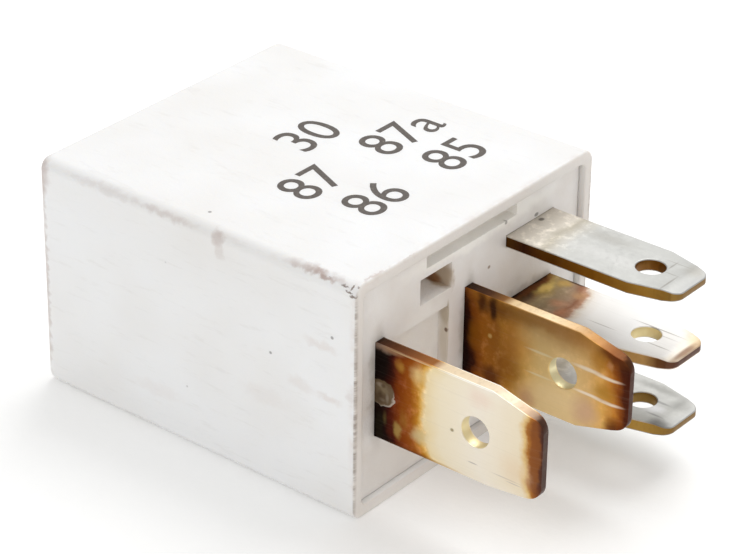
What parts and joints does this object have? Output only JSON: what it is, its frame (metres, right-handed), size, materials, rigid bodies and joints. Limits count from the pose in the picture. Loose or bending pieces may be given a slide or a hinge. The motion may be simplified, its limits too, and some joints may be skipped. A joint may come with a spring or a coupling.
{
  "type": "automotive relay",
  "caption": "Plug-in automotive changeover relay: moulded cap and base, flat quick-connect blades, and inside a coil, yoke, hinged armature and contacts.",
  "frame": {"origin": "middle of the cover's open rim plane, where the relay meets its socket", "axes": "+X out of the rim along the blades, +Y across the width away from terminal 30, +Z out of the printed wide side; it lies on the opposite wide side"},
  "size_m": [0.0364, 0.023, 0.0156],
  "materials": {
    "cover_plastic": "moulded, slightly satin, with edge wear",
    "base_plastic": "moulded, matt, browned round the hot blades",
    "burnt_blade": "tin plate, burnt black at the root, heat-tinted",
    "tinted_blade": "tin plate with bronze heat tint",
    "middle_blade": "tin plate, browned at the root",
    "coil_blades": "dull tin plate with sheared brass edges",
    "contact_silver": "silver alloy, smooth",
    "spring_bronze": "rolled spring bronze",
    "plated_steel": "zinc plate",
    "bobbin_plastic": "moulded, glass filled",
    "winding_copper": "enamelled copper wire",
    "resistor_lacquer": "lacquered",
    "tinned_wire": "tinned copper wire"
  },
  "bodies": {
    "housing": {"cover": "cover_plastic", "base": "base_plastic", "terminal_30": "burnt_blade", "terminal_87": "tinted_blade", "terminal_87a": "middle_blade", "terminal_86": "coil_blades", "terminal_85": "coil_blades", "no_contact": "contact_silver", "nc_contact": "contact_silver", "yoke": "plated_steel", "yoke_rivets": "plated_steel", "core": "plated_steel", "bobbin": "bobbin_plastic", "coil_winding": "winding_copper", "coil_lead_start": "winding_copper", "coil_lead_finish": "winding_copper", "resistor": "resistor_lacquer", "resistor_lead_86": "tinned_wire", "resistor_lead_85": "tinned_wire"},
    "armature": {"armature": "plated_steel", "armature_rivets": "plated_steel", "contact_spring": "spring_bronze", "moving_contact": "contact_silver"}
  },
  "joints": [
    {"name": "armature_pivot", "type": "hinge", "parent": "housing", "child": "armature", "pos_m": [-0.0197, -0.0081, 0], "axis": [0, 0, -1], "range_deg": [0, 2.97], "stiffness_Nm_per_rad": 0.01, "springref_deg": -17.19, "deforming": ["contact_spring"]}
  ]
}
